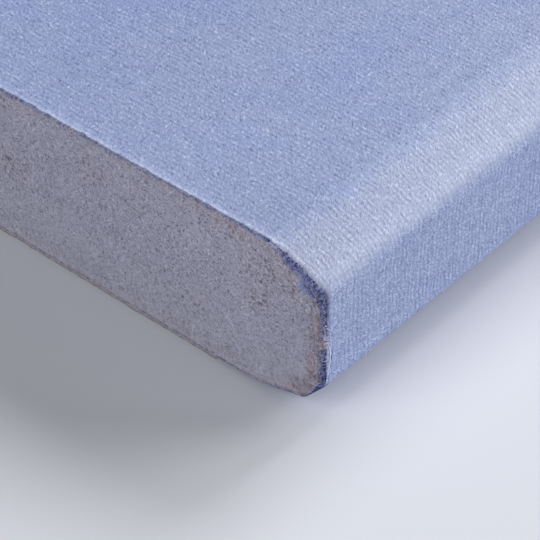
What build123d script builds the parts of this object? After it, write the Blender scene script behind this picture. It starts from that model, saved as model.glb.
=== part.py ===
"""Drywall sheet: a gypsum board with paper-wrapped long edges and two sawn ends.

Three pieces make up the sheet. The gypsum core is a slab, bare at both sawn ends.
The face paper covers the face, wraps both shaped long edges and is turned in
under the back as a narrow hem. The back paper covers the back and is glued over
the hems, so that a strip of face paper stays in sight along each long edge.

Frame: the sheet lies face up, +X across it, +Y along it, +Z up, with its origin
in the middle of the underside. All sizes are in millimetres.
"""
import os

from build123d import *

# Sheet
SHEET_WIDTH = 1200.0
SHEET_LENGTH = 2500.0
SHEET_THICKNESS = 12.5

# Paper
FACE_PAPER_THICKNESS = 0.45
BACK_PAPER_THICKNESS = 0.25
HEM_WIDTH = 30.0  # face paper turned in under the back, from the sheet's edge
HEM_IN_SIGHT = 9.0  # the part of the hem that the back paper leaves bare

# Long edge, from the face down: a bevel, an upright wall, a steep heel and a
# shallow relief that runs out on the back
BEVEL_WIDTH = 4.1
BEVEL_DROP = 1.6
HEEL_TOP_HEIGHT = 3.15  # foot of the upright wall, above the underside
HEEL_WIDTH = 1.6
HEEL_FOOT_HEIGHT = 1.3
RELIEF_WIDTH = 5.5

# Outer bend radii of the face paper, in the same order
FACE_BEND_RADIUS = 4.0
SHOULDER_RADIUS = 0.9
WALL_FOOT_RADIUS = 0.9
HEEL_RADIUS = 1.2
RELIEF_RADIUS = 12.0


def wrapped_outline(thickness_inwards):
    """Section of what the face paper encloses, moved inwards by part of its thickness.

    Every bend turns the same way, so a bend's radius shrinks by the same amount.
    """
    half = SHEET_WIDTH / 2
    top = SHEET_THICKNESS
    underside = BACK_PAPER_THICKNESS
    right_edge = [
        ((half - BEVEL_WIDTH, top), FACE_BEND_RADIUS),
        ((half, top - BEVEL_DROP), SHOULDER_RADIUS),
        ((half, HEEL_TOP_HEIGHT), WALL_FOOT_RADIUS),
        ((half - HEEL_WIDTH, HEEL_FOOT_HEIGHT), HEEL_RADIUS),
        ((half - RELIEF_WIDTH, underside), RELIEF_RADIUS),
    ]
    left_edge = [((-x, z), radius) for (x, z), radius in reversed(right_edge)]
    corners = [Vector(x, 0, z) for (x, z), _ in right_edge + left_edge]
    radii = [radius for _, radius in right_edge + left_edge]
    outer = make_face(FilletPolyline(*corners, radius=radii, close=True).edges())
    if thickness_inwards == 0:
        return outer
    return offset(outer, amount=-thickness_inwards, kind=Kind.ARC)


def strip(reach, low_z, high_z):
    """Upright rectangle in the section plane, as far to the left as to the right."""
    corners = [(-reach, low_z), (reach, low_z), (reach, high_z), (-reach, high_z)]
    return make_face(Polyline(*[Vector(x, 0, z) for x, z in corners], close=True).edges())


def paper_wrap():
    """Section of the face paper: a ring round the sheet, open under the back between the hems."""
    ring = wrapped_outline(0) - wrapped_outline(FACE_PAPER_THICKNESS)
    hem_reach = SHEET_WIDTH / 2 - HEM_WIDTH
    hem_top = BACK_PAPER_THICKNESS + FACE_PAPER_THICKNESS
    return ring - strip(hem_reach, BACK_PAPER_THICKNESS, hem_top)


def along_sheet(section):
    """Runs a section the whole length of the sheet, from one sawn end to the other."""
    body = extrude(section, amount=SHEET_LENGTH, dir=(0, 1, 0))
    return Pos(0, -SHEET_LENGTH / 2, 0) * body


def gypsum_core():
    """Slab that fills the paper wrap and stands on the back paper between the hems."""
    return along_sheet(wrapped_outline(0) - paper_wrap())


def face_paper():
    """One paper web: the face, both wrapped edges and the two hems under the back."""
    return along_sheet(paper_wrap())


def back_paper():
    """Flat web on the underside, glued over the hems."""
    return along_sheet(strip(SHEET_WIDTH / 2 - HEM_IN_SIGHT, 0, BACK_PAPER_THICKNESS))


pieces = {
    "gypsum_core": gypsum_core(),
    "face_paper": face_paper(),
    "back_paper": back_paper(),
}

os.makedirs("parts", exist_ok=True)
for name, piece in pieces.items():
    export_step(piece, f"parts/{name}.step")
    print(name, "volume", round(piece.volume), "mm3")
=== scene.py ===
"""Looks of the drywall sheet: a blue paper face over a grey gypsum core, seen close up at one sawn corner.

Shapes are worked out in millimetres. Along a sawn end, `s` is the distance along the
section line of the face paper, from the middle of the face, and `inset` is the distance
from the sawn end into the sheet. A sawn end is -1, the near one, or 1, the far one.
"""
import math

import bmesh
import bpy
import numpy as np
from mathutils import Matrix, Vector


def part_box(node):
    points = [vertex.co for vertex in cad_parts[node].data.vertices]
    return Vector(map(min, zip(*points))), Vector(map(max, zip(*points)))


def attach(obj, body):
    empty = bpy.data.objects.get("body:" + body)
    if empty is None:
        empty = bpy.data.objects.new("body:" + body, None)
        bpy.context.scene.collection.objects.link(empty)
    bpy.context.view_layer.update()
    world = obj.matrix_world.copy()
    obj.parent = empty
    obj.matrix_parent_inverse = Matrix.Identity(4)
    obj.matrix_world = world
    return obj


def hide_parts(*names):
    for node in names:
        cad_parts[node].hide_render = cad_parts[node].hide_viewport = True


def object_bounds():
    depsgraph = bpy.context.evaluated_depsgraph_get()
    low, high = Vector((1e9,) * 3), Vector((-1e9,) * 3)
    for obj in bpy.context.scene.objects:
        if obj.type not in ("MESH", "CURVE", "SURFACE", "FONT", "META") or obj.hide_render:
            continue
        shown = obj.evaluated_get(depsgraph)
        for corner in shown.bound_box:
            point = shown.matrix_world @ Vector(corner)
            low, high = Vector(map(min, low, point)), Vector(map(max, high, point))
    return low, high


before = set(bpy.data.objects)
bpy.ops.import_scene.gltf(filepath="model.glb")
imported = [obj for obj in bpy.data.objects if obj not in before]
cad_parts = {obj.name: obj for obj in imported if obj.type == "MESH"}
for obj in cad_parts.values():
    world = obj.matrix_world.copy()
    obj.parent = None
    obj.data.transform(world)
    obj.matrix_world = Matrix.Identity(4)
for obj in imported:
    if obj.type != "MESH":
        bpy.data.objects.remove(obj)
cad_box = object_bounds()

MM = 0.001
TOP, RIGHT = (corner / MM for corner in (cad_box[1].z, cad_box[1].x))
HALF_LENGTH = cad_box[1].y / MM
BACK_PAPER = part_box("back_paper")[1].z / MM
BACK_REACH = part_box("back_paper")[1].x / MM
FACE_PAPER = 0.45
HEM_WIDTH = 30.0
PRESSED_PAPER = 0.18  # what shows of the paper's cut edge where gypsum is smeared over its inner ply
FOOT_SMEAR = 0.10  # how much less of it shows at the foot of the cut

# Corners of the long edge's section, each with the paper's outer bend radius, the shoulder's worn softer
BEVEL_TOP = (RIGHT - 4.1, TOP, 4.0)
SHOULDER = (RIGHT, TOP - 1.6, 1.4)
WALL_FOOT = (RIGHT, 3.15, 0.9)
HEEL = (RIGHT - 1.6, 1.3, 1.2)
RELIEF_END = (RIGHT - 5.5, BACK_PAPER, 12.0)
HEM_END = (RIGHT - HEM_WIDTH, BACK_PAPER, 0.0)

# Face and walls lie a little inside the box, so that their raised sawn lip reaches it
FACE_SETBACK = 0.12
BEVEL_SWELL = 0.17

# Spacing of the paper's felt marks
PITCH_ALONG = 0.38
PITCH_ACROSS = 0.34

# Mesh fineness
TABLE = 128  # cells after which noise and pits repeat
STEP_GROWTH = 0.12  # for each millimetre past the fine zone
ARC_POINTS = 13
SLOPE_REACH = 0.05


# Small helpers

def smooth(edge_low, edge_high, value):
    """0 below edge_low, 1 above edge_high, with a soft step between them."""
    t = np.clip((value - edge_low) / (edge_high - edge_low), 0.0, 1.0)
    return t * t * (3 - 2 * t)


def noise_2d(x, y, cell, seed):
    """Smooth noise from -1 to 1 whose lumps are about one cell wide."""
    table = np.random.default_rng(seed).random((TABLE, TABLE)) * 2 - 1
    fx, fy = np.asarray(x) / cell, np.asarray(y) / cell
    ix, iy = np.floor(fx).astype(int), np.floor(fy).astype(int)
    tx, ty = fx - ix, fy - iy
    tx, ty = tx * tx * (3 - 2 * tx), ty * ty * (3 - 2 * ty)

    def corner(dx, dy):
        return table[(ix + dx) % TABLE, (iy + dy) % TABLE]

    low = corner(0, 0) * (1 - tx) + corner(1, 0) * tx
    high = corner(0, 1) * (1 - tx) + corner(1, 1) * tx
    return low * (1 - ty) + high * ty


def pits(x, y, cell, share, seed):
    """Depth from 0 to 1 of round pits, one at most in each cell of a grid, in `share` of the cells."""
    rng = np.random.default_rng(seed)
    off_x, off_y, size, there = rng.random((4, TABLE, TABLE))
    fx, fy = np.asarray(x) / cell, np.asarray(y) / cell
    ix, iy = np.floor(fx).astype(int), np.floor(fy).astype(int)
    depth = np.zeros(fx.shape)
    for dx in (-1, 0, 1):
        for dy in (-1, 0, 1):
            a, b = (ix + dx) % TABLE, (iy + dy) % TABLE
            radius = 0.15 + 0.35 * size[a, b] ** 2
            gone = np.hypot(fx - ix - dx - off_x[a, b], fy - iy - dy - off_y[a, b]) / radius
            deep = np.clip(1 - gone ** 2, 0, 1) * (0.5 + size[a, b]) * (there[a, b] < share)
            depth = np.maximum(depth, deep)
    return depth


def stations(reach, fine_left, fine_right, coarse, fine_zone):
    """Places from -reach to reach, in fine steps past fine_zone and growing to coarse in the middle."""
    places = [-reach]
    while places[-1] < reach:
        fine = fine_right if places[-1] > 0 else fine_left
        grown = STEP_GROWTH * (fine_zone - abs(places[-1]))
        places.append(places[-1] + min(coarse, max(fine, grown)))
    places = np.array(places)
    return (places + reach) * (2 * reach) / (places[-1] + reach) - reach


# Section line of the face paper

def rounded(corners):
    """Points of a line through the corners, with an arc of its radius at each inner corner."""
    points = [np.array(corners[0][:2])]
    for before, here, after in zip(corners, corners[1:], corners[2:]):
        a, b, c = (np.array(p[:2]) for p in (before, here, after))
        to_a, to_c = (a - b) / np.linalg.norm(a - b), (c - b) / np.linalg.norm(c - b)
        half_angle = math.acos(np.clip(to_a @ to_c, -1, 1)) / 2
        reach = here[2] / math.tan(half_angle)
        middle = b + (to_a + to_c) / np.linalg.norm(to_a + to_c) * here[2] / math.sin(half_angle)
        start, end = b + to_a * reach - middle, b + to_c * reach - middle
        turn = math.pi - 2 * half_angle
        for t in np.linspace(0, 1, ARC_POINTS):
            weights = math.sin((1 - t) * turn) / math.sin(turn), math.sin(t * turn) / math.sin(turn)
            points.append(middle + weights[0] * start + weights[1] * end)
    points.append(np.array(corners[-1][:2]))
    return np.array(points)


RIGHT_LINE = rounded([(0.0, TOP, 0.0), BEVEL_TOP, SHOULDER, WALL_FOOT, HEEL, RELIEF_END, HEM_END])
LINE_S = np.concatenate([[0], np.cumsum(np.linalg.norm(np.diff(RIGHT_LINE, axis=0), axis=1))])
LINE_END = LINE_S[-1]


def line_at(a):
    """X and Z of the places a on the right half of the section line."""
    return np.interp(a, LINE_S, RIGHT_LINE[:, 0]), np.interp(a, LINE_S, RIGHT_LINE[:, 1])


def line_place(x, z):
    """Distance along the section line of the point on it nearest to (x, z), on the right half."""
    tried = np.linspace(0, LINE_END, 60001)
    tried_x, tried_z = line_at(tried)
    return tried[np.argmin(np.hypot(tried_x - x, tried_z - z))]


S_BEVEL, S_SHOULDER, S_WALL_FOOT, S_HEEL = (
    line_place(*corner[:2]) for corner in (BEVEL_TOP, SHOULDER, WALL_FOOT, HEEL))
BEVEL_MIDDLE, BEVEL_HALF = (S_BEVEL + S_SHOULDER) / 2, (S_SHOULDER - S_BEVEL) / 2


def bevel_swell(s):
    """1 in the middle of the bevel, which swells a little, and 0 from its edges on."""
    return np.clip(1 - ((np.abs(s) - BEVEL_MIDDLE) / BEVEL_HALF) ** 2, 0, 1)


def on_line(s, inward):
    """X and Z of the place s on the section line, moved inward from the paper's outer surface."""
    a = np.abs(s)
    x, z = line_at(a)
    ahead_x, ahead_z = line_at(np.clip(a + SLOPE_REACH, 0, LINE_END))
    back_x, back_z = line_at(np.clip(a - SLOPE_REACH, 0, LINE_END))
    run, rise = ahead_x - back_x, ahead_z - back_z
    length = np.hypot(run, rise)
    shoulder = np.exp(-((a - S_SHOULDER - 0.2) / 0.9) ** 2)
    setback = FACE_SETBACK * (1 - 0.8 * shoulder) * (1 - smooth(S_WALL_FOOT - 0.9, S_WALL_FOOT + 0.3, a))
    depth = inward + setback - BEVEL_SWELL * bevel_swell(s)
    return np.sign(s) * (x + rise / length * depth), z - run / length * depth


def turned_under(s):
    """What |X| + (TOP - Z) lacks of the distance round the section line, past the foot of the wall."""
    a = np.abs(s)
    x, z = line_at(a)
    lacking = a - S_WALL_FOOT - (x - z - (WALL_FOOT[0] - WALL_FOOT[1]))
    return np.where(a > S_WALL_FOOT, lacking, 0.0)


def paper_thickness(s):
    """Thickness of the paper in sight at a sawn end: whole round the shaped edge, less on the flats."""
    a = np.abs(s)
    shaped = smooth(S_BEVEL - 1.5, S_BEVEL + 1.0, a) * (1 - smooth(S_WALL_FOOT + 0.3, S_HEEL, a))
    smeared = FOOT_SMEAR * smooth(S_HEEL + 2.0, S_HEEL + 6.0, a)
    return PRESSED_PAPER - smeared + (FACE_PAPER - PRESSED_PAPER) * shaped


# Mesh building

def linked(name, data):
    """A new object in the scene."""
    made = bpy.data.objects.new(name, data)
    bpy.context.scene.collection.objects.link(made)
    return made


class Build:
    """Collects vertices with named values, and faces, for one mesh."""

    def __init__(self, *value_names):
        self.points, self.faces = [], []
        self.values = {name: [] for name in value_names}
        self.count = 0

    def add(self, points, **values):
        """Adds vertices and returns their numbers in the same shape."""
        shape = points.shape[:-1]
        total = int(np.prod(shape))
        self.points.append(points.reshape(-1, 3))
        for name, kept in self.values.items():
            kept.append(np.broadcast_to(values.get(name, 0.0), shape).reshape(-1))
        numbers = np.arange(self.count, self.count + total).reshape(shape)
        self.count += total
        return numbers

    def grid(self, numbers):
        """Quads over a grid of vertex numbers."""
        self.quads(numbers[:-1, :-1], numbers[1:, :-1], numbers[1:, 1:], numbers[:-1, 1:])

    def quads(self, *corners):
        self.faces.extend(np.stack(corners, -1).reshape(-1, 4).tolist())

    def zip_rows(self, row_a, places_a, row_b, places_b):
        """Triangles between two rows of vertices that may have different counts."""
        i = j = 0
        while i < len(row_a) - 1 or j < len(row_b) - 1:
            a_next = places_a[i + 1] if i < len(row_a) - 1 else math.inf
            b_next = places_b[j + 1] if j < len(row_b) - 1 else math.inf
            if a_next <= b_next:
                self.faces.append([int(row_a[i]), int(row_a[i + 1]), int(row_b[j])])
                i += 1
            else:
                self.faces.append([int(row_a[i]), int(row_b[j + 1]), int(row_b[j])])
                j += 1

    def cap(self, rows):
        """Closes both ends of a tube of rows."""
        for k in (0, -1):
            self.faces.append([int(row[k]) for row in rows])

    def join(self, near, near_plain, far_plain, far):
        """Skin between four closed loops along the sheet, of which the middle two are alike."""
        self.zip_rows(*near, *near_plain)
        self.zip_rows(*far, *far_plain)
        self.grid(np.array([near_plain[0], far_plain[0]]))

    def finish(self, name, material):
        """Makes the object, in metres and inside the CAD box, with faces turned outwards."""
        low, high = (np.array(corner) / MM for corner in cad_box)
        mesh = bpy.data.meshes.new(name)
        mesh.from_pydata((np.clip(np.concatenate(self.points), low, high) * MM).tolist(), [], self.faces)
        shape = bmesh.new()
        shape.from_mesh(mesh)
        bmesh.ops.recalc_face_normals(shape, faces=shape.faces)
        shape.to_mesh(mesh)
        shape.free()
        for value_name, kept in self.values.items():
            attribute = mesh.attributes.new(value_name, "FLOAT", "POINT")
            attribute.data.foreach_set("value", np.concatenate(kept).astype(np.float32))
        mesh.polygons.foreach_set("use_smooth", [True] * len(mesh.polygons))
        mesh.materials.append(material)
        return linked(name, mesh)


def at(x, inset, z, end):
    """Points in the sheet's frame from places along a sawn end."""
    return np.stack(np.broadcast_arrays(x, end * (HALF_LENGTH - inset), z), -1)


# Node helpers

class Nodes:
    """Adds shader nodes to a material and links them, with plain numbers allowed as inputs."""

    def __init__(self, name):
        self.material = bpy.data.materials.new(name)
        self.material.use_nodes = True
        self.tree = self.material.node_tree
        self.shader = self.tree.nodes["Principled BSDF"]

    def put(self, socket, value):
        if isinstance(value, bpy.types.NodeSocket):
            self.tree.links.new(value, socket)
        elif value is not None:
            socket.default_value = value

    def node(self, kind, *inputs, named=(), **settings):
        made = self.tree.nodes.new(kind)
        for key, value in settings.items():
            setattr(made, key, value)
        for place, value in (*enumerate(inputs), *named):
            self.put(made.inputs[place], value)
        return made

    def math(self, operation, a, b=None, c=None):
        return self.node("ShaderNodeMath", a, b, c, operation=operation).outputs[0]

    def times(self, a, b):
        return self.math("MULTIPLY", a, b)

    def sum(self, *terms):
        """Sum of (value, weight) terms."""
        total = self.math("MULTIPLY", *terms[0])
        for value, weight in terms[1:]:
            total = self.math("MULTIPLY_ADD", value, weight, total)
        return total

    def noise(self, where, scale, detail=2.0, roughness=0.5, distortion=0.0):
        """Noise about 0, mostly between -0.5 and 0.5."""
        named = (("Vector", where), ("Scale", scale), ("Detail", detail), ("Roughness", roughness),
                 ("Distortion", distortion))
        return self.math("SUBTRACT", self.node("ShaderNodeTexNoise", named=named).outputs["Fac"], 0.5)

    def cells(self, where, scale):
        """Distance to the nearest of many scattered points."""
        named = (("Vector", where), ("Scale", scale))
        return self.node("ShaderNodeTexVoronoi", named=named).outputs["Distance"]

    def stretched(self, where, scale, turn=0.0):
        """A place turned about Z by some degrees, then scaled."""
        turned = self.node("ShaderNodeMapping", where, named=[("Rotation", (0, 0, math.radians(turn)))])
        return self.node("ShaderNodeMapping", turned.outputs[0], named=[("Scale", scale)]).outputs[0]

    def ramp(self, value, low, high, to_low=0.0, to_high=1.0):
        """A soft step from to_low, where the value is low, to to_high, where it is high."""
        made = self.node("ShaderNodeMapRange", value, low, high, to_low, to_high,
                         interpolation_type="SMOOTHSTEP")
        return made.outputs[0]

    def mix(self, share, a, b):
        named = ((0, share), (6, a), (7, b))
        return self.node("ShaderNodeMix", named=named, data_type="RGBA").outputs[2]

    def between(self, share, a, b):
        """The value a where share is 0, and b where it is 1."""
        return self.math("MULTIPLY_ADD", share, self.math("SUBTRACT", b, a), a)

    def value(self, name):
        return self.node("ShaderNodeAttribute", attribute_name=name).outputs["Fac"]

    def place(self):
        """Place in the sheet, in millimetres."""
        return self.stretched(self.node("ShaderNodeTexCoord").outputs["Object"], (1 / MM, 1 / MM, 1 / MM))

    def web(self):
        """Place on the unrolled paper, in millimetres: across it and round the edge, and along it."""
        parts = self.node("ShaderNodeSeparateXYZ", self.place()).outputs
        fall = self.math("SUBTRACT", TOP, parts[2])
        across = self.sum((self.math("ABSOLUTE", parts[0]), 1.0), (fall, 1.0), (self.value("under"), 1.0))
        return self.node("ShaderNodeCombineXYZ", across, parts[1], 0.0).outputs[0], across, parts[1]

    def bump(self, height, depth):
        """Relief of the given height, `depth` metres for each 1 of it."""
        named = (("Strength", 1.0), ("Distance", depth), ("Height", height))
        self.put(self.shader.inputs["Normal"], self.node("ShaderNodeBump", named=named).outputs[0])

    def finish(self, colour, roughness, specular, sheen=0.0):
        for name, value in (("Base Color", colour), ("Roughness", roughness),
                            ("Specular IOR Level", specular), ("Sheen Weight", sheen)):
            self.put(self.shader.inputs[name], value)
        return self.material


# Colours, linear
BLUE = (0.253, 0.315, 0.543, 1)
BLUE_DARK = (0.112, 0.146, 0.322, 1)
BLUE_LIGHT = (0.49, 0.56, 0.80, 1)
BLUE_DEEP = (0.225, 0.292, 0.560, 1)
# Greyer and darker than BLUE: partly real fading, partly painted shade on the bevel
BLUE_FADED_AND_SHADED = (0.245, 0.290, 0.412, 1)
NAVY = (0.42, 0.46, 0.84, 1)
# Dark end of the dyed fibres' tone, partly painted shade of the crevices between them
NAVY_DARK_AND_CREVICE_SHADE = (0.045, 0.052, 0.19, 1)
DYED_GYPSUM = (0.44, 0.475, 0.76, 1)
DYED_GYPSUM_DARK = (0.23, 0.255, 0.47, 1)
GYPSUM = (0.448, 0.447, 0.572, 1)
# Dark gypsum tone, also used as the painted shade in pores and pits
GYPSUM_DARK = (0.12, 0.112, 0.135, 1)
GYPSUM_LIGHT = (0.75, 0.75, 0.87, 1)
PLY_BROWN = (0.33, 0.235, 0.235, 1)
PLY_PALE = (0.66, 0.56, 0.61, 1)
SMEARED_DARK = (0.33, 0.29, 0.37, 1)
SMEARED_PALE = (0.66, 0.61, 0.76, 1)
BACK_DARK = (0.41, 0.37, 0.39, 1)
BACK_LIGHT = (0.69, 0.635, 0.68, 1)
# Painted shade: near-black mixed into the papers where shade falls at the sawn ends
PAINTED_SHADE = (0.10, 0.10, 0.15, 1)
FIBRE_PALE = (0.70, 0.74, 0.90, 1)


def ply_colour(n, tone):
    """Dark to pale, by a tone: greyed by smeared gypsum, or brown where the inner ply is bare."""
    smeared = n.mix(tone, SMEARED_DARK, SMEARED_PALE)
    return n.mix(n.value("bare"), smeared, n.mix(tone, PLY_BROWN, PLY_PALE))


def felt(n):
    """Relief of the liner paper, about 0: felt ridges both ways and a tangle of fibres."""
    web, across, along = n.web()
    drift = n.noise(web, 0.9)
    rows = n.math("SINE", n.sum((along, 2 * math.pi / PITCH_ALONG), (drift, 9.0)))
    columns = n.math("SINE", n.sum((across, 2 * math.pi / PITCH_ACROSS), (drift, -8.0)))
    row_share = n.ramp(n.noise(n.stretched(web, (0.8, 2.4, 1)), 1.0, 3.0), -0.15, 0.15, 0.1, 1.0)
    column_share = n.ramp(n.noise(n.stretched(web, (2.6, 0.9, 1)), 1.0, 3.0), -0.12, 0.18, 0.05, 0.8)
    fibre_a = n.noise(n.stretched(web, (3.4, 7.0, 1), 30), 1.0, 2.0, 0.6, 0.4)
    fibre_b = n.noise(n.stretched(web, (7.5, 4.0, 1), -20), 1.0, 2.0, 0.6, 0.4)
    row_share = n.times(row_share, n.ramp(across, RIGHT - 5.0, RIGHT - 3.0, 1.15, 1.45))
    ridges = n.sum((n.times(rows, row_share), 0.26), (n.times(columns, column_share), 0.18))
    on_wall = n.ramp(across, RIGHT + 1.2, RIGHT + 2.0)
    loose = n.between(on_wall, 1.0, 0.55)
    fibres = n.times(n.sum((fibre_a, 1.0), (fibre_b, 1.0)), loose)
    return web, n.sum((ridges, 1.0), (fibres, 1.6)), fibres, across, on_wall


def face_paper_material():
    """Blue liner paper: felted and cloudy, with painted shade in the hollows of its felt, faded and
    darkened with painted shade on its bevel, a painted highlight round its shoulder, scuffed and given a
    painted highlight at its rim, painted shade near its sawn ends, undyed inside.
    """
    n = Nodes("blue_liner_paper")
    web, relief, fibres, across, on_wall = felt(n)
    tangle, wall_tangle = n.stretched(web, (0.82, 1.22, 1), 49), n.stretched(web, (0.62, 1.35, 1), -41)
    fine = n.between(on_wall, n.noise(tangle, 6.9, 1.0), n.noise(wall_tangle, 8.6, 1.0))
    medium = n.between(on_wall, n.noise(tangle, 3.4, 1.0), n.noise(wall_tangle, 3.4, 1.0))
    cloud = n.noise(web, 1.0, 2.0, 0.6)
    wide_cloud = n.noise(web, 0.11, 3.0)
    coarse = n.ramp(across, RIGHT, RIGHT + 3.0, 1.0, 1.5)
    # Tone from the felt's relief, darker in its hollows, is partly painted shade; the rest is random tone
    close = n.times(n.sum((relief, 0.8), (fine, n.between(on_wall, 1.55, 2.6))), coarse)
    shade = n.sum((close, 1.0), (medium, 2.0), (cloud, 1.1), (wide_cloud, 0.5))
    deep = n.ramp(n.noise(web, 0.13, 2.0), -0.05, 0.2, 0.0, 0.8)
    past_bevel = n.ramp(across, RIGHT + 1.2, RIGHT + 2.2, 0.6, 0.2)
    # Faded blue on the bevel, less past it: partly real fading, partly painted shade
    fade_and_shade = n.times(n.ramp(across, RIGHT - 4.4, RIGHT - 1.8), past_bevel)
    blue = n.mix(fade_and_shade, n.mix(deep, BLUE, BLUE_DEEP), BLUE_FADED_AND_SHADED)
    colour = n.mix(n.ramp(shade, -1.12, 0.0), BLUE_DARK, blue)
    colour = n.mix(n.ramp(shade, 0.0, 1.27), colour, BLUE_LIGHT)
    # Painted highlight: a paler band round the shoulder bend
    shoulder_highlight = n.times(n.ramp(across, RIGHT - 1.2, RIGHT + 1.3, 0.0, 0.10),
                    n.ramp(across, RIGHT + 1.6, RIGHT + 2.8, 1.0, 0.0))
    colour = n.mix(shoulder_highlight, colour, FIBRE_PALE)
    speck = n.sum((fine, 1.6), (medium, 1.0), (fibres, 0.5))
    # Paler rim: partly scuffed fibres, partly painted highlight along the raised lip
    scuff = n.times(n.value("scuff"), n.ramp(speck, -0.35, 0.2, 0.3, 1.0))
    colour = n.mix(scuff, colour, FIBRE_PALE)
    cut = n.ramp(n.value("depth"), 0.02, 0.3)
    # Painted shade: the cut edge's colour is darker on the wall
    dyed = n.sum((speck, 1.0), (on_wall, -0.13))
    colour = n.mix(cut, colour, n.mix(n.ramp(dyed, -0.22, 0.24), NAVY_DARK_AND_CREVICE_SHADE, NAVY))
    deep_in = n.sum((n.value("depth"), 1.0), (fibres, 0.5), (medium, 0.6))
    past_dye = n.math("SUBTRACT", deep_in, n.value("dye"))
    ply = ply_colour(n, n.ramp(speck, -0.3, 0.35))
    colour = n.mix(n.ramp(past_dye, 0.02, 0.15), colour, ply)
    # Painted shade next to the near corner, along the wall's sawn rim and at the foot of the cut
    colour = n.mix(n.value("soil"), colour, PAINTED_SHADE)
    n.put(n.shader.inputs["Specular IOR Level"], n.ramp(cut, 0.0, 0.5, 1.0, 0.1))
    n.bump(relief, 0.000018)
    return n.finish(colour, 0.55, 1.0)


def gypsum_material():
    """Sawn gypsum: fine grey grain with pores, painted shade in its pores and pits and near the wall,
    painted light towards its foot, and stained by the paper.
    """
    n = Nodes("sawn_gypsum")
    place = n.place()
    grain = n.noise(place, 5.0, 2.0, 0.7)
    fine = n.noise(place, 9.0, 1.0)
    wide = n.noise(place, 0.5, 3.0, 0.65)
    patchy = n.ramp(n.noise(place, 0.5, 2.0), -0.1, 0.2, 0.1, 1.0)
    pores = n.times(n.ramp(n.cells(place, 4.8), 0.12, 0.36, 1.0, 0.0), patchy)
    tone = n.sum((grain, 1.95), (fine, 2.05), (wide, 0.55))
    colour = n.mix(n.ramp(tone, -0.9, 0.0), GYPSUM_DARK, GYPSUM)
    colour = n.mix(n.ramp(tone, 0.0, 0.9), colour, GYPSUM_LIGHT)
    # Painted shade in the pores and pits
    colour = n.mix(n.times(pores, 0.34), colour, GYPSUM_DARK)
    colour = n.mix(n.times(n.value("pit"), 0.95), colour, GYPSUM_DARK)
    patches = n.ramp(n.sum((grain, 1.0), (fine, 0.7)), -0.2, 0.1, 0.2, 1.0)
    height = n.node("ShaderNodeSeparateXYZ", place).outputs[2]
    # Painted light: paler towards the foot, making up for shade near the floor
    colour = n.mix(n.ramp(height, 1.0, 7.5, 0.18, 0.0), colour, GYPSUM_LIGHT)
    colour = n.mix(n.ramp(height, 0.35, 1.1, 0.22, 0.0), colour, GYPSUM_LIGHT)
    brown = n.times(n.value("brown_rim"), patches)
    ply_tone = n.ramp(n.sum((fine, 1.0), (grain, 1.0)), -0.35, 0.35)
    colour = n.mix(brown, colour, n.mix(ply_tone, PLY_BROWN, PLY_PALE))
    blue = n.sum((n.value("blue_rim"), 1.0), (grain, 0.35))
    faintly_dyed = n.mix(n.ramp(tone, -0.45, 0.45), DYED_GYPSUM_DARK, DYED_GYPSUM)
    dyed = n.mix(n.ramp(tone, -0.35, 0.35), NAVY_DARK_AND_CREVICE_SHADE, NAVY)
    dyed = n.mix(n.ramp(blue, 0.55, 0.95), faintly_dyed, dyed)
    colour = n.mix(n.ramp(blue, 0.1, 0.5), colour, dyed)
    n.bump(n.sum((grain, 1.2), (fine, 0.6), (pores, -0.5)), 0.00008)
    return n.finish(colour, 0.9, 0.25)


def back_paper_material():
    """Warm grey liner paper, cloudy and flecked, with painted shade along its sawn edge."""
    n = Nodes("grey_liner_paper")
    web, relief, fibres, _, _ = felt(n)
    cloud = n.noise(web, 0.3, 4.0, 0.6)
    fleck = n.noise(web, 6.0, 2.0, 0.7)
    shade = n.sum((fibres, 1.2), (fleck, 1.6), (cloud, 0.7))
    colour = n.mix(n.ramp(shade, -0.5, 0.5), BACK_DARK, BACK_LIGHT)
    # Painted shade along the sawn edge: a dark line at the foot of the sheet
    colour = n.mix(n.times(n.value("sawn"), 0.26), colour, PAINTED_SHADE)
    n.bump(relief, 0.00003)
    return n.finish(colour, 0.85, 0.3, sheen=0.1)


def fibre_material():
    """Paper fibres: dark blue to pale by their tone, or in the ply's colours where "brown" is 1."""
    n = Nodes("paper_fibres")
    tone = n.value("tone")
    colour = n.mix(n.ramp(tone, 0.0, 0.5), NAVY_DARK_AND_CREVICE_SHADE, NAVY)
    colour = n.mix(n.ramp(tone, 0.5, 1.0), colour, FIBRE_PALE)
    colour = n.mix(n.value("brown"), colour, ply_colour(n, tone))
    n.bump(n.noise(n.place(), 9.0), 0.00001)
    return n.finish(colour, 0.8, 0.3, sheen=0.2)


# Sawn ends. Widths are followed round the section line as (place on it, width) pairs.

Z_TORN_TOP, Z_TORN_FOOT = 6.7, 3.1  # where the outer ply is torn back on the near right edge


def follow(pairs, s):
    places, widths = zip(*pairs)
    return np.interp(np.abs(s), places, widths)


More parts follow.
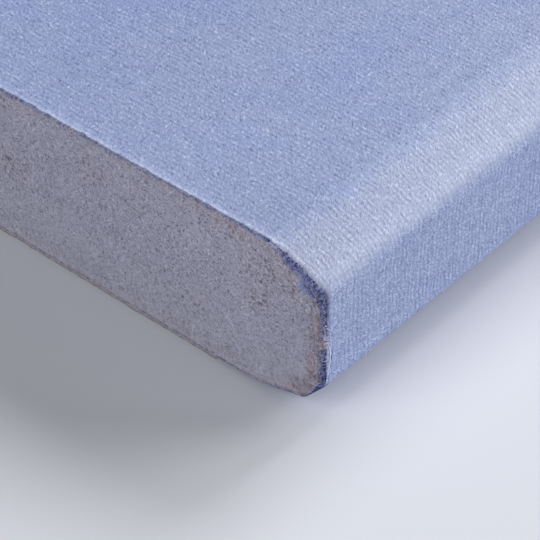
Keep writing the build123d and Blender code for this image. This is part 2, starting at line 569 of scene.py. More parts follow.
S_WALL_MID = (S_SHOULDER + S_WALL_FOOT) / 2
S_TORN_TOP, S_TORN_FOOT = line_place(RIGHT, Z_TORN_TOP), line_place(RIGHT, Z_TORN_FOOT)
FRAY_WIDTH = [
    (S_BEVEL - 2.0, 0.26), (S_BEVEL + 0.5, 0.34), (S_BEVEL + 0.8, 0.60), (S_BEVEL + 1.1, 0.95),
    (S_SHOULDER - 1.7, 0.95), (S_SHOULDER - 1.2, 1.40), (S_SHOULDER - 0.3, 1.50), (S_SHOULDER + 0.3, 1.25),
    (S_SHOULDER + 1.0, 0.80), (S_SHOULDER + 1.5, 0.42), (S_SHOULDER + 3.2, 0.33), (S_TORN_TOP - 0.2, 0.32),
    (S_TORN_TOP + 0.1, 0.10), (S_TORN_TOP + 0.5, 0.10), (S_TORN_TOP + 0.8, 0.34), (S_WALL_FOOT, 0.32),
    (S_HEEL, 0.15), (S_HEEL + 12.0, 0.05), (LINE_END, -0.3),
]
PLY_WIDTH = [
    (S_BEVEL - 12.0, 0.7), (S_BEVEL - 2.0, 1.5), (S_BEVEL + 1.5, 2.6), (S_SHOULDER, 2.2),
    (S_SHOULDER + 1.2, 1.3), (S_SHOULDER + 2.5, 1.1), (S_WALL_MID + 0.5, 1.15), (S_WALL_MID + 1.2, 0.9),
    (S_WALL_FOOT - 1.5, 1.4), (S_WALL_FOOT, 1.4), (S_HEEL, 1.3), (S_HEEL + 2.0, 0.75), (LINE_END, 0.4),
]
PLY_STRENGTH = [
    (S_BEVEL - 4.0, 0.25), (S_BEVEL, 0.3), (S_SHOULDER, 0.2), (S_SHOULDER + 1.5, 0.15),
    (S_SHOULDER + 2.8, 0.18), (S_HEEL, 0.3), (S_HEEL + 3.0, 0.13), (LINE_END, 0.06),
]
# Bare ply at the near right corner, as (distance in from the wall, Z, reach across, reach up, strength)
PLY_PATCHES = [
    (0.3, 6.45, 0.45, 0.4, 1.0), (0.7, 6.75, 0.35, 0.45, 1.0), (0.95, 7.4, 0.3, 0.6, 0.9),
    (1.0, 8.15, 0.25, 0.4, 0.7), (1.2, 4.9, 0.35, 0.5, 0.9), (1.05, 4.1, 0.45, 0.5, 0.9),
    (1.25, 3.2, 0.45, 0.6, 0.9), (0.6, 8.7, 0.3, 0.4, 0.5), (2.2, 1.75, 0.7, 0.35, 0.9),
    (1.6, 2.4, 0.4, 0.4, 0.8), (3.2, 1.3, 0.5, 0.25, 0.6), (7.2, 11.65, 0.9, 0.35, 0.7),
    (8.7, 11.95, 0.7, 0.28, 0.8), (10.4, 12.05, 0.6, 0.24, 0.7), (12.8, 12.1, 0.9, 0.18, 0.7),
    (16.0, 12.1, 0.7, 0.16, 0.5), (19.3, 12.0, 0.25, 0.22, 0.9),
]
# Blue dye that has run into the near right corner's gypsum, in the same terms
DYE_PATCHES = [(1.65, 10.20, 0.70, 0.50, 0.55), (1.20, 9.75, 0.40, 0.30, 0.4)]
DYED_SHARE = [
    (S_BEVEL - 5.0, 0.06), (S_BEVEL - 1.0, 0.2), (S_BEVEL + 0.5, 0.9), (S_SHOULDER, 1.3),
    (S_SHOULDER + 1.5, 0.72), (S_TORN_TOP - 0.3, 0.68), (S_TORN_TOP + 0.1, 0.1), (S_TORN_TOP + 0.5, 0.1),
    (S_TORN_TOP + 0.8, 0.72), (S_WALL_FOOT + 0.3, 0.8), (S_HEEL - 0.7, 0.5), (S_HEEL, 0.3),
    (S_HEEL + 4.0, 0.0),
]
# How pale the sawn rim of the outer ply is made: scuffed fibres, and a painted highlight along its raised
# lip
RIM_PALE = [
    (S_BEVEL - 1.0, 0.55), (S_BEVEL + 0.3, 0.85), (S_BEVEL + 1.6, 0.85), (S_SHOULDER - 1.2, 0.5),
    (S_SHOULDER - 0.2, 0.25), (S_SHOULDER + 0.5, 0.06), (LINE_END, 0.05),
]
# How much painted shade darkens the face and the bevel next to the near right corner
CORNER_SHADE = [
    (S_BEVEL - 9.0, 0.0), (S_BEVEL - 4.0, 0.05), (S_BEVEL, 0.09), (S_BEVEL + 1.0, 0.14),
    (S_SHOULDER - 1.5, 0.12), (S_SHOULDER - 0.3, 0.04), (S_SHOULDER + 0.5, 0.0),
]
# Nicks in the sawn rim of the near end, as (distance in from the wall, depth, width)
RIM_NICKS = [(24.4, 0.10, 0.35), (19.9, 0.14, 0.25), (14.6, 0.06, 0.30), (9.2, 0.06, 0.25)]
# Clusters of pits, darkened with painted shade, in the near end's gypsum, as (distance in from the wall, Z,
# radius)
SPECK_CLUSTERS = [(4.9, 9.8, 1.7), (5.6, 7.3, 1.0), (7.4, 11.4, 0.8), (10.8, 3.4, 1.1), (19.6, 9.8, 1.2)]


def along_wall(s):
    """1 on the upright wall, 0 on the bevel and on the heel."""
    a = np.abs(s)
    return smooth(S_SHOULDER - 0.9, S_SHOULDER + 0.5, a) * (1 - smooth(S_WALL_FOOT, S_HEEL + 0.5, a))


def along_bevel(s):
    """1 on the bevel, 0 on the face and on the wall."""
    a = np.abs(s)
    return smooth(S_BEVEL - 0.6, S_BEVEL + 0.8, a) * (1 - smooth(S_SHOULDER - 0.5, S_SHOULDER + 0.3, a))


def edge_recess(s, end, seed):
    """How far the sawn edge of the paper's outer surface lies behind the end of the box."""
    wall, bevel = along_wall(s), along_bevel(s)
    fine = noise_2d(s, 0, 0.22, seed) + 0.6 * noise_2d(s, 0, 0.1, seed + 1)
    wide = noise_2d(s, 0, 1.7, seed + 2)
    recess = 0.04 + 0.12 * wall + (0.012 + 0.03 * bevel + 0.05 * wall) * fine + (0.015 + 0.05 * wall) * wide
    if end < 0:
        for from_wall, depth, width in RIM_NICKS:
            recess = recess + depth * np.exp(-((RIGHT - from_wall - s) / width) ** 2)
    return np.clip(recess, 0.005, None)


def torn_share(s, end):
    """1 in the middle of the torn stretch of the near right edge, 0 outside it."""
    middle, reach = (S_TORN_TOP + S_TORN_FOOT) / 2, (S_TORN_FOOT - S_TORN_TOP) / 2
    return np.sqrt(np.clip(1 - ((s - middle) / reach) ** 2, 0, 1)) * (end < 0)


def lip_height(s, seed):
    """Height of the raised rim along the sawn edge."""
    height = 0.75 + 0.22 * noise_2d(s, 0, 1.3, seed) + 0.12 * noise_2d(s, 0, 0.35, seed + 1)
    height = np.clip(height, 0, 1) * (1 - 0.7 * bevel_swell(s)) * (1 - 0.6 * along_wall(s))
    return FACE_SETBACK * height * (1 - smooth(S_WALL_FOOT - 0.9, S_WALL_FOOT + 0.1, np.abs(s)))


def crushed(s, seed):
    """How far the bend at the shoulder is pressed in at the sawn end."""
    bend = np.exp(-(((np.abs(s) - S_SHOULDER + 0.1) / 0.75) ** 2))
    return bend * (0.2 + 0.04 * noise_2d(s, 0, 0.6, seed))


# Rows of the paper's mesh at a sawn end: how far in from it, and how deep in the cut paper
STRIP_INSETS = [0, 0.03, 0.07, 0.12, 0.18, 0.25, 0.33, 0.42, 0.51, 0.6, 0.7, 0.8, 0.95, 1.2, 1.7, 2.5]
STRIP_DEPTH = STRIP_INSETS[-1]
INSIDE_INSETS = [0, 0.3, STRIP_DEPTH]
CUT_SHARES = [0.12, 0.3, 0.48, 0.66, 0.84]
PLAIN_FROM = 4.0  # where the core's mesh turns plain, and the paper's past its strip
LIP_REACH = 0.38


def section_loop(outer, inner, s):
    """Closed loop of vertex numbers round a section of paper, and the place of each."""
    loop = np.concatenate([outer, inner[::-1], outer[:1]])
    reach = -s[0]
    return loop, np.concatenate([s, 2 * reach - s[::-1] + 1, [4 * reach + 2]])


class Rim:
    """What changes along the sawn rim of the face paper at one end."""

    def __init__(self, s, end, seed):
        a, near = np.abs(s), end < 0
        self.s, self.end, self.seed = s, end, seed
        self.recess, self.lip = edge_recess(s, end, seed), lip_height(s, seed + 5)
        self.thick, self.under = paper_thickness(s), turned_under(s)
        self.torn, self.pressed = torn_share(s, end), crushed(s, seed + 6)
        self.dye, self.bevel, self.wall = follow(DYED_SHARE, s), along_bevel(s), along_wall(s)
        self.rolled = 0.03 + 0.10 * self.bevel
        self.pale = follow(RIM_PALE, s) * np.clip(0.85 + 0.4 * noise_2d(s, 0, 0.6, seed + 7), 0, 1.15)
        self.pale_foot = np.exp(-((s - S_TORN_TOP - 2.0) / 1.6) ** 2) * near
        self.bare = np.exp(-((s - S_TORN_TOP - 0.3) / 0.6) ** 2) * near
        # Painted shade on the face and the bevel next to the near right corner
        self.corner_shade = follow(CORNER_SHADE, s) * near * (s > 0)
        self.blue_outside = 1 - smooth(S_HEEL - 0.8, S_HEEL + 0.4, a)
        self.open_cut = 0.12 + 0.88 * smooth(S_BEVEL - 1.5, S_BEVEL + 0.6, a)
        past_heel = smooth(S_HEEL - 0.6, S_HEEL + 0.4, a) * (1 - smooth(S_HEEL + 1, S_HEEL + 6, a))
        # Painted shade: the cut edge darkened just past the heel, at the foot of the sheet
        self.foot_shade = 0.36 * past_heel


def outside_values(rim, inset, back):
    """Dye, scuffs with a painted highlight, and painted shade of the paper's outer surface, a way in from
    its sawn rim.
    """
    scuff = rim.pale * np.exp(-(inset / (0.2 + 0.1 * rim.bevel)) ** 2) * rim.blue_outside
    scuff = np.maximum(scuff, rim.torn * smooth(0.5, 0.35, back) * 0.16)
    scuff = np.maximum(scuff, 0.12 * rim.pale_foot * (1 - inset / STRIP_DEPTH))
    scuff = np.maximum(scuff, 0.07 * rim.wall * math.exp(-((inset - 1.4) / 0.7) ** 2))
    bled = 0.27 * rim.wall * (1 - 0.4 * rim.torn) * math.exp(-(inset / 0.3) ** 2)
    dye_at_rim = np.maximum(rim.dye, np.maximum(rim.blue_outside * 2 - 0.3, 0.3))
    # Painted shade on the wall's paper along its sawn rim
    wall_rim_shade = 0.67 * rim.wall * (1 - 0.6 * rim.torn) * np.exp(-(back / 0.50) ** 3)
    return {"depth": bled, "dye": np.where(back < 1.0, dye_at_rim, 1.0), "scuff": scuff,
            "soil": np.maximum(rim.corner_shade, wall_rim_shade)}


def outside_rows(build, rim):
    """The paper's outer surface, rolled over and raised at its sawn rim."""
    rows = []
    for inset in STRIP_INSETS:
        drop = rim.rolled * np.exp(-inset / (0.03 + 0.1 * rim.bevel)) + rim.pressed * math.exp(-inset / 0.5)
        x, z = on_line(rim.s, drop - rim.lip * math.exp(-(inset / LIP_REACH) ** 1.6))
        back = inset + rim.recess * math.exp(-inset / 0.5)
        values = outside_values(rim, inset, back)
        rows.append(build.add(at(x, back, z, rim.end), under=rim.under, bare=rim.bare, **values))
    return rows


def inside_rows(build, rim):
    """The paper's inner surface, against the gypsum."""
    rows = []
    for inset in INSIDE_INSETS:
        x, z = on_line(rim.s, rim.thick + rim.pressed * math.exp(-inset / 0.5))
        back = inset + 0.08 * math.exp(-inset / 0.4)
        rows.append(build.add(at(x, back, z, rim.end), depth=1.0, dye=rim.dye, under=rim.under))
    return rows


def cut_rows(build, rim):
    """The fuzzy sawn edge between the paper's outer and inner surfaces."""
    rows = []
    for share in CUT_SHARES:
        x, z = on_line(rim.s, rim.thick * share + (rim.rolled - rim.lip) * (1 - share) + rim.pressed)
        fuzz = noise_2d(rim.s, share * 9, 0.13, rim.seed + 8)
        back = np.clip(rim.recess * (1 - share ** 3) + 0.05 + 0.09 * fuzz, 0, None)
        # Painted shade at the foot, strongest at the paper's outer surface
        deep, soil = (0.25 + 0.75 * share) * rim.open_cut, rim.foot_shade * (1.2 - share)
        # Paler top of the cut edge: scuffed fibres and painted highlight
        scuff = rim.pale * (1 - rim.bevel) * max(0.0, 0.7 - 1.4 * share)
        rows.append(build.add(at(x, back, z, rim.end), depth=deep, dye=rim.dye, scuff=scuff, soil=soil,
                              under=rim.under, bare=rim.bare))
    return rows


def paper_end(build, end, steps, seed):
    """A sawn end of the face paper, down to a closed loop at STRIP_DEPTH."""
    rim = Rim(stations(LINE_END, *steps), end, seed)
    outside, inside = outside_rows(build, rim), inside_rows(build, rim)
    cut = [outside[0], *cut_rows(build, rim), inside[0]]
    for rows in (outside, inside, cut):
        build.grid(np.array(rows))
    build.cap(outside[::-1] + cut[1:-1] + inside)
    return section_loop(outside[-1], inside[-1], rim.s)


def plain_paper_loop(build, end, s):
    """A plain closed loop of the face paper's section, a little way in from the sawn strip."""
    loops = []
    for inward, depth in ((0.0, 0.0), (paper_thickness(s), 1.0)):
        x, z = on_line(s, inward)
        points = at(x, STRIP_DEPTH + PLAIN_FROM, z, end)
        loops.append(build.add(points, depth=depth, dye=1.0, under=turned_under(s)))
    return section_loop(*loops, s)


def make_face_paper(material):
    build = Build("depth", "dye", "scuff", "soil", "under", "bare")
    plain = stations(LINE_END, 0.4, 0.4, 20.0, S_BEVEL - 2)
    near = paper_end(build, -1, (0.3, 0.07, 2.5, RIGHT - 30), 11)
    far = paper_end(build, 1, (0.3, 0.3, 2.5, RIGHT - 30), 31)
    build.join(near, plain_paper_loop(build, -1, plain), plain_paper_loop(build, 1, plain), far)
    return build.finish("face_paper_web", material)


CORE_REACH = RIGHT - FACE_PAPER - FACE_SETBACK
EDGE_ZONE = RIGHT - 45  # how far from the middle the sawn gypsum starts to be worked out in full
LINE_SAMPLES = np.arange(EDGE_ZONE, LINE_END, 0.06)
SAMPLE_X, SAMPLE_Z = on_line(LINE_SAMPLES, 0.0)
FINE_ROWS, EDGE_ROWS, PLAIN_ROWS = 120, 46, 14  # points from foot to top of the sawn gypsum


def core_heights(x):
    """Lowest and highest Z of the gypsum at each X of the section."""
    s_top = np.linspace(0, S_WALL_MID, 6000)
    s_low = np.linspace(S_WALL_MID, LINE_END, 2000)
    top_x, top_z = on_line(s_top, paper_thickness(s_top))
    low_x, low_z = on_line(s_low, paper_thickness(s_low))
    high = np.interp(np.abs(x), top_x, top_z)
    low = np.interp(np.abs(x), low_x[::-1], low_z[::-1])
    low = np.where(np.abs(x) < RIGHT - HEM_WIDTH, BACK_PAPER, low)
    return low, high


def nearest_on_line(x, z):
    """Place on the section line nearest to each point of a column, and its distance."""
    if abs(x) < RIGHT - 40:
        from_top, from_foot = TOP - FACE_SETBACK - z, z - BACK_PAPER
        near_top = from_top < from_foot
        return np.where(near_top, abs(x), LINE_END), np.where(near_top, from_top, from_foot)
    far = np.hypot(SAMPLE_X[None] - abs(x), SAMPLE_Z[None] - z[:, None])
    nearest = far.argmin(1)
    return LINE_SAMPLES[nearest], far[np.arange(len(z)), nearest]


def from_patch(patch, x, z):
    """Distance of a column's points from the middle of a patch, in terms of its reach."""
    from_wall, patch_z, reach_across, reach_up = patch[:4]
    return np.hypot((RIGHT - from_wall - x) / reach_across, (patch_z - z) / reach_up)


def patched(x, z, ragged, brown_rim, blue_rim):
    """The two stains of a column, with the patches of open ply and of dye added."""
    for patch in PLY_PATCHES:
        open_ply = 1 - smooth(0.6, 1.3, from_patch(patch, x, z) + 1.2 * ragged)
        brown_rim = np.maximum(brown_rim, patch[4] * open_ply)
        blue_rim = blue_rim * (1 - open_ply)
    for patch in DYE_PATCHES:
        dyed = 1 - smooth(0.5, 1.3, from_patch(patch, x, z) + 1.0 * ragged)
        blue_rim = np.maximum(blue_rim, patch[4] * dyed)
    return brown_rim, blue_rim


def core_column(build, end, x, z, seed):
    """One column of the sawn face of the core, pitted and stained, with painted shade in its pits and near
    the wall.
    """
    place, distance = nearest_on_line(x, z)
    ragged = 0.22 * noise_2d(x, z, 0.45, seed + 6) + 0.14 * noise_2d(x, z, 0.16, seed + 7)
    blotch = 0.55 * noise_2d(x, z, 1.1, seed + 8)
    fray, ply = follow(FRAY_WIDTH, place), follow(PLY_WIDTH, place)
    blue_rim = smooth(-0.13, 0.13, fray - distance + ragged * np.clip(2 * fray, 0, 1))
    blue_rim = blue_rim * (1 - 0.62 * smooth(0.55, 1.15, distance + ragged))
    brown_rim = smooth(-0.5, 0.5, ply - distance + ragged + blotch) * follow(PLY_STRENGTH, place)
    cluster = np.maximum(smooth(0.1, 0.7, noise_2d(x, z, 3.0, seed + 3)), 0.45 * smooth(3.2, 1.5, z))
    if end < 0 < x:
        for from_wall, speck_z, radius in SPECK_CLUSTERS:
            away = np.hypot(RIGHT - from_wall - x, speck_z - z) / radius
            cluster = np.maximum(cluster, 1.3 * np.exp(-away ** 2))
        brown_rim = np.maximum(brown_rim, 0.15 * np.minimum(cluster, 1) * smooth(3.0, 5.0, z))
        brown_rim, blue_rim = patched(x, z, ragged, brown_rim, blue_rim)
    grain = 0.026 * noise_2d(x, z, 0.24, seed) + (0.022 + 0.05 * blue_rim) * noise_2d(x, z, 0.11, seed + 1)
    wide = 0.03 * noise_2d(x, z, 2.5, seed + 2)
    pit = 0.35 * pits(x, z, 0.38, 0.1, seed + 4) + 1.2 * cluster * pits(x, z, 0.27, 0.55, seed + 5)
    pit = pit * smooth(EDGE_ZONE, RIGHT - 32, abs(x))
    depth = 0.08 + grain + wide + 0.09 * pit + 0.05 * blue_rim
    # Painted shade: the gypsum within a few millimetres of the wall is darkened
    pit = np.maximum(pit, 0.12 * smooth(6.5, 3.0, RIGHT - abs(x)))
    return build.add(at(x, np.clip(depth, 0.01, 0.6), z, end), pit=np.clip(pit, 0, 1),
                     brown_rim=brown_rim * (1 - blue_rim), blue_rim=blue_rim)


def row_heights(count):
    """Heights from 0 to 1 of a column's points, closer together at both rims where they are few."""
    even = np.linspace(0, 1, count)
    return even if count > PLAIN_ROWS else 0.5 - 0.5 * np.cos(even * math.pi)


def core_loop(columns, tops, feet, left, right):
    """Closed loop of vertex numbers round the core's section, and the place of each."""
    loop = np.concatenate([tops, right[::-1], feet[::-1], left, tops[:1]])
    over, back = columns + CORE_REACH, CORE_REACH - columns[::-1]
    down, up = (np.linspace(0, 10, len(side) + 2)[1:-1] for side in (right, left))
    wide = 2 * CORE_REACH
    return loop, np.concatenate([over, wide + down, wide + 10 + back, 2 * wide + 10 + up, [2 * wide + 20]])


def core_end(build, end, steps, rows_at, seed):
    """The sawn face of the core, and its rim as a closed loop."""
    columns = stations(CORE_REACH, *steps)
    kept = []
    for x in columns:
        t = row_heights(rows_at(x))
        low, high = core_heights(x)
        kept.append((core_column(build, end, x, low + t * (high - low), seed), t))
    for (row_a, t_a), (row_b, t_b) in zip(kept, kept[1:]):
        build.zip_rows(row_a, t_a, row_b, t_b)
    tops, feet = [row[-1] for row, _ in kept], [row[0] for row, _ in kept]
    return core_loop(columns, tops, feet, kept[0][0][1:-1], kept[-1][0][1:-1])


def plain_core_loop(build, end, columns):
    """A plain closed loop round the core's section, a little way in from the sawn end."""
    low, high = core_heights(columns)
    tops = build.add(at(columns, PLAIN_FROM, high, end))
    feet = build.add(at(columns, PLAIN_FROM, low, end))
    return core_loop(columns, tops, feet, tops[:0], tops[:0])


def make_core(material):
    build = Build("pit", "brown_rim", "blue_rim")

    def far_rows(x):
        return EDGE_ROWS if abs(x) > RIGHT - 26 else PLAIN_ROWS

    def near_rows(x):
        return FINE_ROWS if x > RIGHT - 31 else PLAIN_ROWS if x > 0 else far_rows(x)

    near = core_end(build, -1, (0.25, 0.10, 1.6, RIGHT - 30), near_rows, 51)
    far = core_end(build, 1, (0.25, 0.25, 1.6, RIGHT - 25), far_rows, 71)
    hem = RIGHT - HEM_WIDTH
    plain = np.append(stations(CORE_REACH, 0.5, 0.5, 20.0, S_BEVEL - 2),
                      [-hem - 0.01, -hem + 0.01, hem - 0.01, hem + 0.01])
    plain.sort()
    build.join(near, plain_core_loop(build, -1, plain), plain_core_loop(build, 1, plain), far)
    return build.finish("gypsum_core_body", material)


BACK_STRIP = 6.0  # how far in from a sawn end the back paper's mesh turns plain
BACK_ROWS = [(BACK_STRIP, 0), (1.2, 0.05), (0.6, 0.35), (0.3, 0.7), (0.0, 1.0)]  # (inset, share of lift)


def make_back_paper(material):
    """The back paper's web, lifted a little and ragged at its sawn edges."""
    build = Build("sawn")
    loops = []
    for end, seed, fine in ((-1, 91, 0.12), (1, 95, 0.4)):
        x = stations(BACK_REACH, 0.4, fine, 2.5, RIGHT - 32)
        ragged = 0.08 + 0.04 * noise_2d(x, 0, 0.5, seed) + 0.03 * noise_2d(x, 0, 0.17, seed + 1)
        lift = 0.01 + 0.02 * noise_2d(x, 0, 0.9, seed + 2) + 0.02 * noise_2d(x, 0, 0.3, seed + 3)
        lift = np.clip(lift, 0, 0.06)
        rows = []
        for inset, share in BACK_ROWS:
            points = at(x, inset + ragged * (inset < 0.5), lift * share, end)
            rows.append(build.add(points, sawn=float(inset == 0)))
        for share in (0.6, 1.0):
            back = 0.06 + 0.04 * noise_2d(x, share * 5, 0.2, seed + 4)
            z = lift * (1 - share) + BACK_PAPER * share
            rows.append(build.add(at(x, back, z, end), sawn=1.0 - 0.4 * (share == 1)))
        rows.append(build.add(at(x, BACK_STRIP, BACK_PAPER, end)))
        build.grid(np.array(rows))
        build.cap(rows)
        loops.append(section_loop(rows[0], rows[-1], x))
    build.zip_rows(*loops[0], *loops[1])
    return build.finish("back_paper_web", material)


# Fibres of the sawn paper edge

STRAND_RINGS, STRAND_SIDES = 4, 4
SPARSE = 0.45  # share of the fibres that every other sawn corner has beside the near right one


def strands(build, roots, headings, lengths, radii, rng, **values):
    """Thin bent tapering tubes, one from each root along its heading."""
    count, rings, sides = len(roots), STRAND_RINGS, STRAND_SIDES
    along = headings / np.linalg.norm(headings, axis=1, keepdims=True)
    first = np.cross(along, rng.normal(size=(count, 3)))
    first /= np.linalg.norm(first, axis=1, keepdims=True)
    second = np.cross(along, first)
    t = np.linspace(0, 1, rings)[None, :, None]
    bend = rng.normal(0, 0.22, (count, 1, 1)) * np.sin(t * math.pi)
    bend = bend + rng.normal(0, 0.15, (count, 1, 1)) * t ** 2
    middle = roots[:, None] + lengths[:, None, None] * (along[:, None] * t + first[:, None] * bend)
    angle = (np.arange(sides) * 2 * math.pi / sides)[:, None]
    ring = np.cos(angle) * first[:, None, None] + np.sin(angle) * second[:, None, None]
    thin = (radii[:, None, None] * (1 - 0.55 * t))[..., None]
    numbers = build.add(middle[:, :, None] + ring * thin,
                        **{name: np.asarray(value)[:, None, None] for name, value in values.items()})
    for m in range(sides):
        here, beside = numbers[:, :, m], numbers[:, :, (m + 1) % sides]
        build.quads(here[:, :-1], beside[:, :-1], beside[:, 1:], here[:, 1:])
    build.faces.extend(numbers[:, 0].tolist() + numbers[:, -1, ::-1].tolist())


def fray_along(build, end, side, low, high, per_mm, rng):
    """Fibres over the frayed band, between two places on the section line."""
    count = int((high - low) * per_mm)
    s = rng.uniform(low, high, count)
    width = np.maximum(follow(FRAY_WIDTH, s), 0.12)
    inward = width * rng.random(count) ** 0.8
    x, z = on_line(s, inward)
    inset = rng.uniform(0.02, 0.12, count)
    roots = at(side * x, inset, z, end)
    turn = rng.uniform(0, 2 * math.pi, count)
    headings = np.stack([np.cos(turn), end * rng.uniform(-0.1, 0.7, count), np.sin(turn)], -1)
    lengths = rng.uniform(0.10, 0.34, count) * np.clip(width * 1.6, 0.5, 1)
    pale = rng.random(count) < np.where(s > S_TORN_TOP, 0.05, 0.22)
    tone = np.where(pale, rng.uniform(0.6, 1.0, count), rng.uniform(0.0, 0.45, count))
    undyed = 1.0 * ((s > S_SHOULDER) & (follow(DYED_SHARE, s) < 0.4))
    radii = rng.uniform(0.014, 0.028, count)
    strands(build, roots, headings, lengths, radii, rng, tone=tone, brown=undyed, bare=undyed)


def ply_along(build, end, side, low, high, per_mm, rng):
    """Fibres of the inner ply, some bare and some smeared with gypsum, further in than the blue ones."""
    count = int((high - low) * per_mm)
    s = rng.uniform(low, high, count)
    fray, ply = follow(FRAY_WIDTH, s), follow(PLY_WIDTH, s)
    inward = fray * 0.8 + (ply - fray * 0.8) * rng.random(count)
    x, z = on_line(s, inward)
    roots = at(side * x, rng.uniform(0.03, 0.12, count), z, end)
    turn = rng.normal(math.pi / 2, 0.7, count)
    headings = np.stack([np.cos(turn), end * rng.uniform(-0.1, 0.3, count), np.sin(turn)], -1)
    lengths = rng.uniform(0.1, 0.4, count)
    strands(build, roots, headings, lengths, rng.uniform(0.012, 0.024, count), rng,
            tone=rng.random(count), brown=rng.uniform(0.6, 1, count), bare=1.0 * (rng.random(count) < 0.55))


# The curled sliver of the torn outer ply, and a dark strip beside it that is painted shade of a crease, as
# (inset, Z) on the near right wall
SLIVER = [(0.05, 3.16), (0.29, 3.63), (0.44, 4.12), (0.57, 4.65), (0.61, 5.30), (0.56, 5.90), (0.47, 6.25)]
CREASE_SHADE_STRIP = [(0.62, 4.30), (0.70, 4.60), (0.76, 4.95), (0.78, 5.45), (0.76, 5.80)]
RIBBON_RINGS = 60
# Pale fibres that hang over it, as (count, lowest Z, highest Z, shortest, longest, fall)
FRINGE = [(26, 5.2, 8.2, 0.15, 0.35, 0.0), (14, 6.7, 8.0, 0.5, 0.85, -1.2)]


def ribbon(build, path, width, thickness, lift, seed, **values):
    """A tapering ribbon with a ragged rim along a path on the near right wall."""
    along, corners = np.linspace(0, 1, RIBBON_RINGS), np.linspace(0, 1, len(path))
    inset, z = (np.interp(along, corners, part) for part in zip(*path))
    inset, z = (np.convolve(np.pad(part, 4, "edge"), np.ones(9) / 9, "valid") for part in (inset, z))
    taper = np.sin(np.linspace(0.12, 1, RIBBON_RINGS) * math.pi * 0.94) ** 0.5
    taper = taper * (1 + 0.6 * noise_2d(z, 0, 0.22, seed))
    inset = inset + 0.03 * noise_2d(z, 0, 0.3, seed + 1)
    x, _ = on_line(S_SHOULDER + SHOULDER[1] - z, 0.0)
    rings = []
    for turn in np.arange(8) * math.pi / 4:
        sideways = math.cos(turn) * width / 2 * taper
        outwards = (math.sin(turn) * thickness / 2 + lift) * taper
        rings.append(build.add(at(x + outwards, inset + sideways, z, -1), **values))
    rings.append(rings[0])
    build.grid(np.array(rings))
    build.cap(rings[:-1])


def make_sliver(material):
    build = Build("tone", "brown", "bare")
    ribbon(build, SLIVER, 0.07, 0.04, 0.02, 7, tone=0.95)
    # Painted shade: a dark strip where a crease beside the sliver lies in shade
    ribbon(build, CREASE_SHADE_STRIP, 0.06, 0.03, 0.01, 9, tone=0.05)
    return build.finish("torn_ply_sliver", material)


def fringe(build, rng):
    """Pale fibres of the outer ply that hang over the near right wall where it is torn."""
    for count, low, high, shortest, longest, fall in FRINGE:
        z = rng.uniform(low, high, count)
        roots = at(RIGHT - rng.uniform(0.08, 0.38, count), rng.uniform(-0.02, 0.1, count), z, -1)
        across, along = rng.uniform(0.1, 0.5, count), rng.uniform(0.3, 0.9, count)
        headings = np.stack([across, along, rng.normal(fall, 0.35, count)], -1)
        lengths = rng.uniform(shortest, longest, count)
        tone, radii = rng.uniform(0.85, 1.0, count), rng.uniform(0.016, 0.028, count)
        strands(build, roots, headings, lengths, radii, rng, tone=tone)


# Bands of fibres round a sawn edge, as (kind, from, to, fibres for each millimetre)
BANDS = [
    (fray_along, S_BEVEL + 0.6, S_SHOULDER + 1.4, 80),
    (fray_along, S_SHOULDER + 1.4, S_WALL_FOOT + 0.3, 60),
    (fray_along, S_BEVEL - 30, S_BEVEL + 0.6, 12),
    (ply_along, S_SHOULDER + 0.8, S_HEEL + 1.0, 60),
    (ply_along, S_HEEL + 1.0, S_HEEL + 24, 3),
    (ply_along, S_BEVEL - 24, S_BEVEL + 0.5, 9),
]


def make_fray(name, end, material, seed):
    build = Build("tone", "brown", "bare")
    rng = np.random.default_rng(seed)
    for side in (1, -1):
        dense = 1.0 if (end, side) == (-1, 1) else SPARSE
        for along, low, high, per_mm in BANDS:
            along(build, end, side, low, high, per_mm * dense, rng)
    if end < 0:
        fringe(build, rng)
    return build.finish(name, material)


def settle(piece, node):
    """Ties a finished piece to the sheet."""
    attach(piece, "root")
    if node:
        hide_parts(node)


# Camera, set from lines traced in the photograph, as seen from the near right corner
CAMERA_HEADING, CAMERA_HEIGHT = 41.092 - 90, 40.873
CAMERA_FROM_CORNER = (69.94, -85.23, 107.97)
FOCAL_PIXELS, FRAME_PIXELS, SENSOR = 2507.1, 540, 36.0
CLIP_START, CLIP_END = 0.01, 200  # metres

# Floor, in metres, air and far lamps, as (name, heading, height, strength, spread)
FLOOR_COLOUR = (0.70, 0.72, 0.78, 1)
FLOOR_REACH = 60.0
FLOOR_DROP = 0.00002
AIR_COLOUR = (0.95, 0.97, 1.0, 1)
AIR_STRENGTH = 0.06
LAMPS = [
    ("key_from_behind", 95, 35, 2.15, 30),
    ("key_from_the_right", 57, 29, 1.62, 32),
    ("side_fill", -5, 25, 0.95, 60),
    ("front_fill", -95, 40, 0.93, 40),
]


def direction(heading, height):
    """Unit vector to a heading, 0 for +X and 90 for +Y, and a height above the floor, in degrees."""
    h, e = math.radians(heading), math.radians(height)
    return Vector((math.cos(h) * math.cos(e), math.sin(h) * math.cos(e), math.sin(e)))


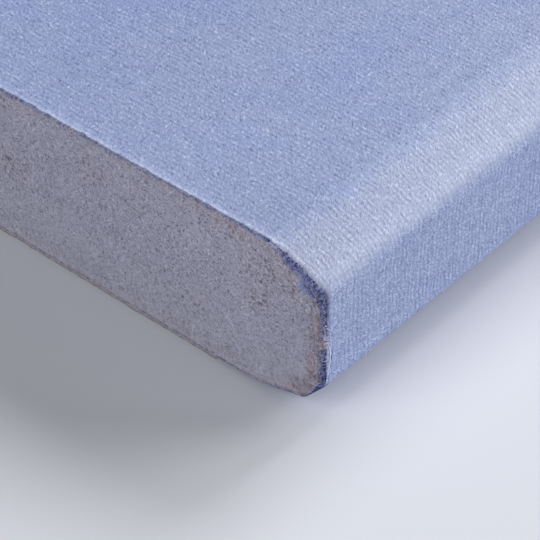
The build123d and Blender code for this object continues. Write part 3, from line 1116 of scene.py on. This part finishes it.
def make_camera():
    lens = bpy.data.cameras.new("camera")
    lens.sensor_width = SENSOR
    lens.lens = FOCAL_PIXELS / FRAME_PIXELS * SENSOR
    lens.clip_start, lens.clip_end = CLIP_START, CLIP_END
    camera = linked("camera", lens)
    back, right = direction(CAMERA_HEADING, CAMERA_HEIGHT), direction(CAMERA_HEADING + 90, 0)
    turned = Matrix((right, back.cross(right), back)).transposed()
    place = Vector((RIGHT, -HALF_LENGTH, 0)) + Vector(CAMERA_FROM_CORNER)
    camera.matrix_world = Matrix.Translation(place * MM) @ turned.to_4x4()
    bpy.context.scene.camera = camera


def make_stage():
    """A plain pale floor, out to the horizon."""
    mesh = bpy.data.meshes.new("floor")
    corners = [(x * FLOOR_REACH, y * FLOOR_REACH, 0) for x, y in ((-1, -1), (1, -1), (1, 1), (-1, 1))]
    mesh.from_pydata(corners, [], [(0, 1, 2, 3)])
    mesh.materials.append(Nodes("pale_floor").finish(FLOOR_COLOUR, 0.9, 0.2))
    floor = linked("floor", mesh)
    floor.location.z = -FLOOR_DROP


def make_light():
    """The far lamps, and pale air all round."""
    for name, heading, height, strength, spread in LAMPS:
        lamp = bpy.data.lights.new(name, "SUN")
        lamp.energy, lamp.angle = strength, math.radians(spread)
        turned = direction(heading, height).to_track_quat("Z", "Y")
        linked(name, lamp).rotation_euler = turned.to_euler()
    world = bpy.data.worlds.new("studio")
    world.use_nodes = True
    background = world.node_tree.nodes["Background"]
    background.inputs["Color"].default_value = AIR_COLOUR
    background.inputs["Strength"].default_value = AIR_STRENGTH
    bpy.context.scene.world = world


make_camera()
make_stage()
make_light()
settle(make_core(gypsum_material()), "gypsum_core")
settle(make_face_paper(face_paper_material()), "face_paper")
settle(make_back_paper(back_paper_material()), "back_paper")
fibres = fibre_material()
settle(make_fray("sawn_edge_fibres_near", -1, fibres, 101), None)
settle(make_fray("sawn_edge_fibres_far", 1, fibres, 103), None)
settle(make_sliver(fibres), None)

bpy.context.scene.view_settings.view_transform = "Standard"
